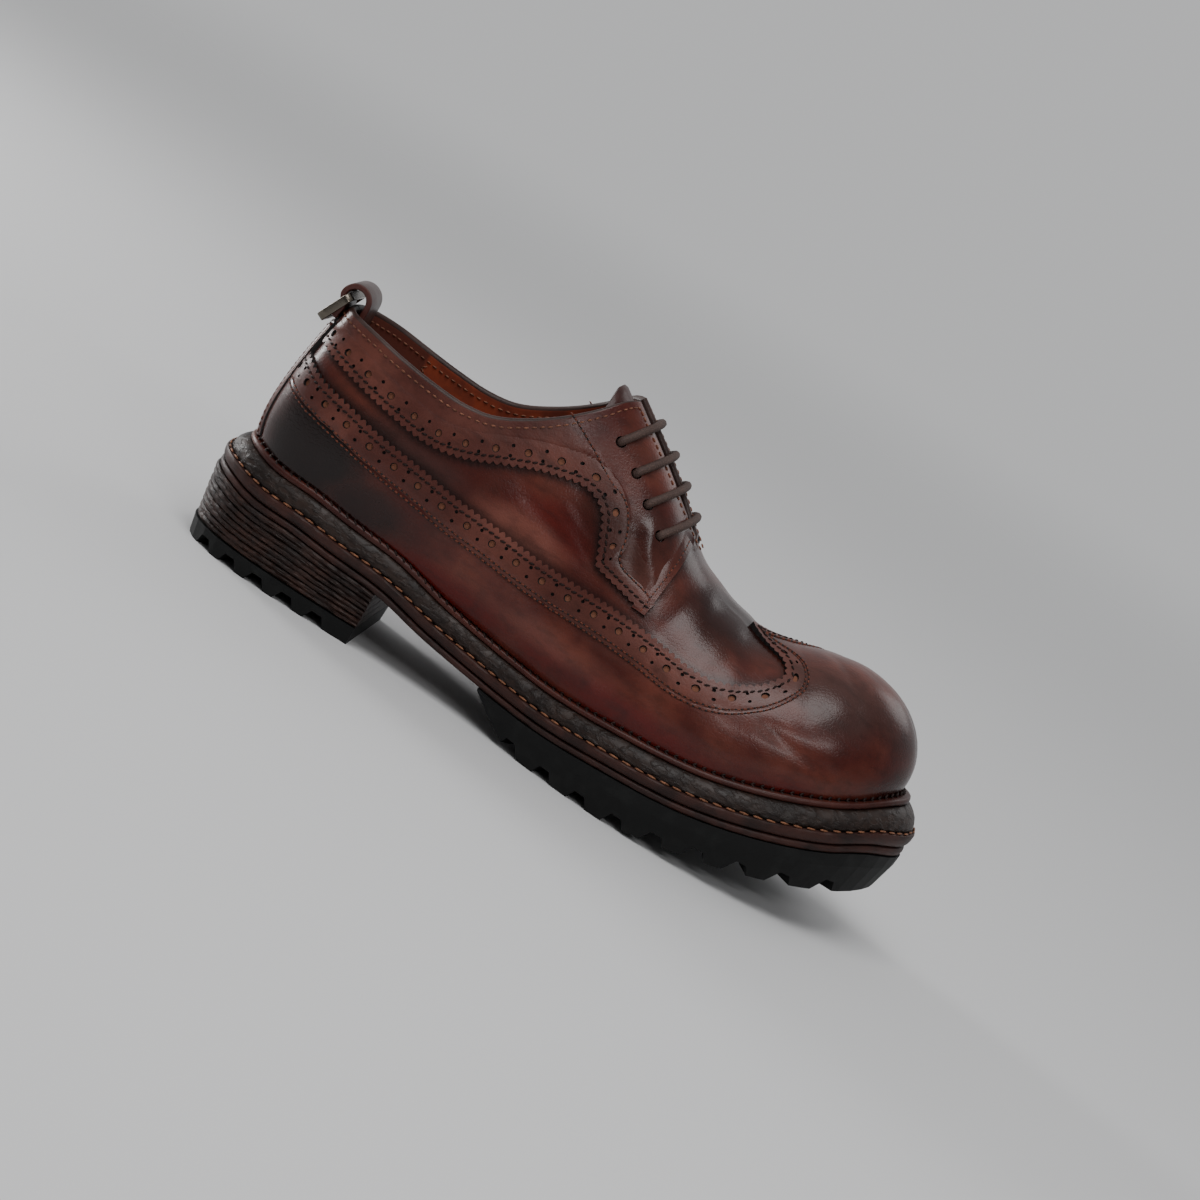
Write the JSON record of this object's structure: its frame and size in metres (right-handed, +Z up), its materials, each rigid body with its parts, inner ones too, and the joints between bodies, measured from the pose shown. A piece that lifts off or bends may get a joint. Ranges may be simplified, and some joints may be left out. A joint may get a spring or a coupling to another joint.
{
  "type": "brogue shoe",
  "caption": "Left longwing brogue derby in burnished leather with a stacked, lugged sole, straight laces and a ring in its pull loop.",
  "frame": {"origin": "middle of the shoe's footprint box, on the ground", "axes": "+X from heel to toe, +Y to the lateral (outer) side, +Z up"},
  "size_m": [0.31, 0.1171, 0.1392],
  "materials": {
    "rubber": "matte black moulded rubber",
    "edge_brown": "raw stacked leather edge, dark brown",
    "edge_grey": "burnished grey-black leather edge",
    "rand_red": "waxed red-brown welt",
    "upper_leather": "hand-burnished oxblood calf, glossy",
    "lining": "tan-orange lining leather, matte",
    "lace": "round waxed cord, taupe brown",
    "gunmetal": "dark gunmetal, satin"
  },
  "bodies": {
    "shoe": {"outsole": "rubber", "heel_top_piece": "rubber", "heel_lift_1": "edge_brown", "heel_lift_2": "edge_brown", "heel_lift_3": "edge_brown", "heel_lift_4": "edge_brown", "runner": "edge_brown", "midsole": "edge_brown", "top_midsole": "edge_grey", "storm_rand": "rand_red", "insole": "lining", "upper": "upper_leather", "tongue": "upper_leather", "wing_cap": "upper_leather", "facing_medial": "upper_leather", "facing_lateral": "upper_leather", "heel_strap": "upper_leather", "pull_loop": "upper_leather", "lace_bar_1": "lace", "lace_bar_2": "lace", "lace_bar_3": "lace", "lace_bar_4": "lace"},
    "ring": {"heel_ring": "gunmetal"}
  },
  "joints": [
    {"name": "ring_swing", "type": "hinge", "parent": "shoe", "child": "ring", "pos_m": [-0.14158, -0.00256, 0.11283], "axis": [0, 1, 0], "range_deg": [0, 150]}
  ]
}
